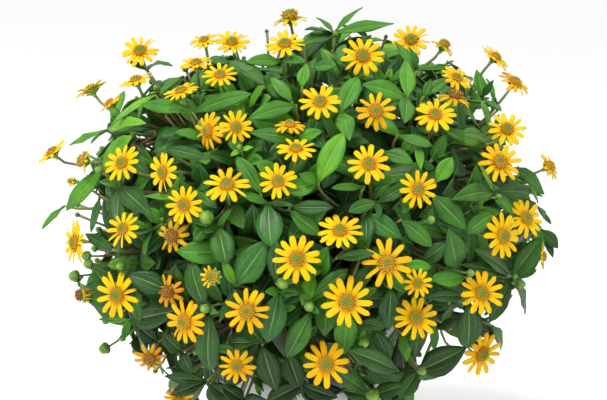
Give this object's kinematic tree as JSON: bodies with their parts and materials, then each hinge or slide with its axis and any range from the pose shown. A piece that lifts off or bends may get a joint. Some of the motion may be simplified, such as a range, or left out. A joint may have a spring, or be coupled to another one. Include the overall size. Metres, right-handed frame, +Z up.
{
  "type": "potted creeping zinnia",
  "caption": "Round mound of creeping zinnia with golden daisy-like flower heads and small opposite leaves, in a plain tapered nursery pot.",
  "frame": {"origin": "centre of the pot's flat underside", "axes": "+Z up; the side shown in the picture faces -Y, with +X to its right"},
  "size_m": [0.2806, 0.2818, 0.2701],
  "materials": {
    "pot": "satin moulded plastic",
    "potting_mix": "damp crumbs of peat and bark",
    "bark": "fibrous young bark",
    "leaf": "softly glossy green with pale veins",
    "ray_floret": "satin golden yellow"
  },
  "bodies": {
    "root": {"pot": "pot", "potting_mix": "potting_mix", "crown": "bark", "branch_01": "leaf", "branch_02": "leaf", "branch_03": "leaf", "branch_04": "leaf", "branch_05": "leaf", "branch_06": "leaf", "branch_07": "leaf", "branch_08": "leaf", "branch_09": "leaf", "branch_10": "leaf", "branch_11": "leaf", "branch_12": "leaf", "branch_13": "leaf", "branch_14": "leaf", "branch_15": "leaf", "branch_16": "leaf", "flower_head_01": "ray_floret", "flower_head_02": "ray_floret", "flower_head_03": "ray_floret", "flower_head_04": "ray_floret", "flower_head_05": "ray_floret", "flower_head_06": "ray_floret", "flower_head_07": "ray_floret", "flower_head_08": "ray_floret", "flower_head_09": "ray_floret", "flower_head_10": "ray_floret", "flower_head_11": "ray_floret", "flower_head_12": "ray_floret", "flower_head_13": "ray_floret", "flower_head_14": "ray_floret", "flower_head_15": "ray_floret", "flower_head_16": "ray_floret", "flower_head_17": "ray_floret", "flower_head_18": "ray_floret", "flower_head_19": "ray_floret", "flower_head_20": "ray_floret", "flower_head_21": "ray_floret", "flower_head_22": "ray_floret", "flower_head_23": "ray_floret", "flower_head_24": "ray_floret", "flower_head_25": "ray_floret", "flower_head_26": "ray_floret", "flower_head_27": "ray_floret", "flower_head_28": "ray_floret", "flower_head_29": "ray_floret", "flower_head_30": "ray_floret", "flower_head_31": "ray_floret", "flower_head_32": "ray_floret", "flower_head_33": "ray_floret", "flower_head_34": "ray_floret", "flower_head_35": "ray_floret", "flower_head_36": "ray_floret", "flower_head_37": "ray_floret", "flower_head_38": "ray_floret", "flower_head_39": "ray_floret", "flower_head_40": "ray_floret", "flower_head_41": "ray_floret"}
  },
  "joints": []
}
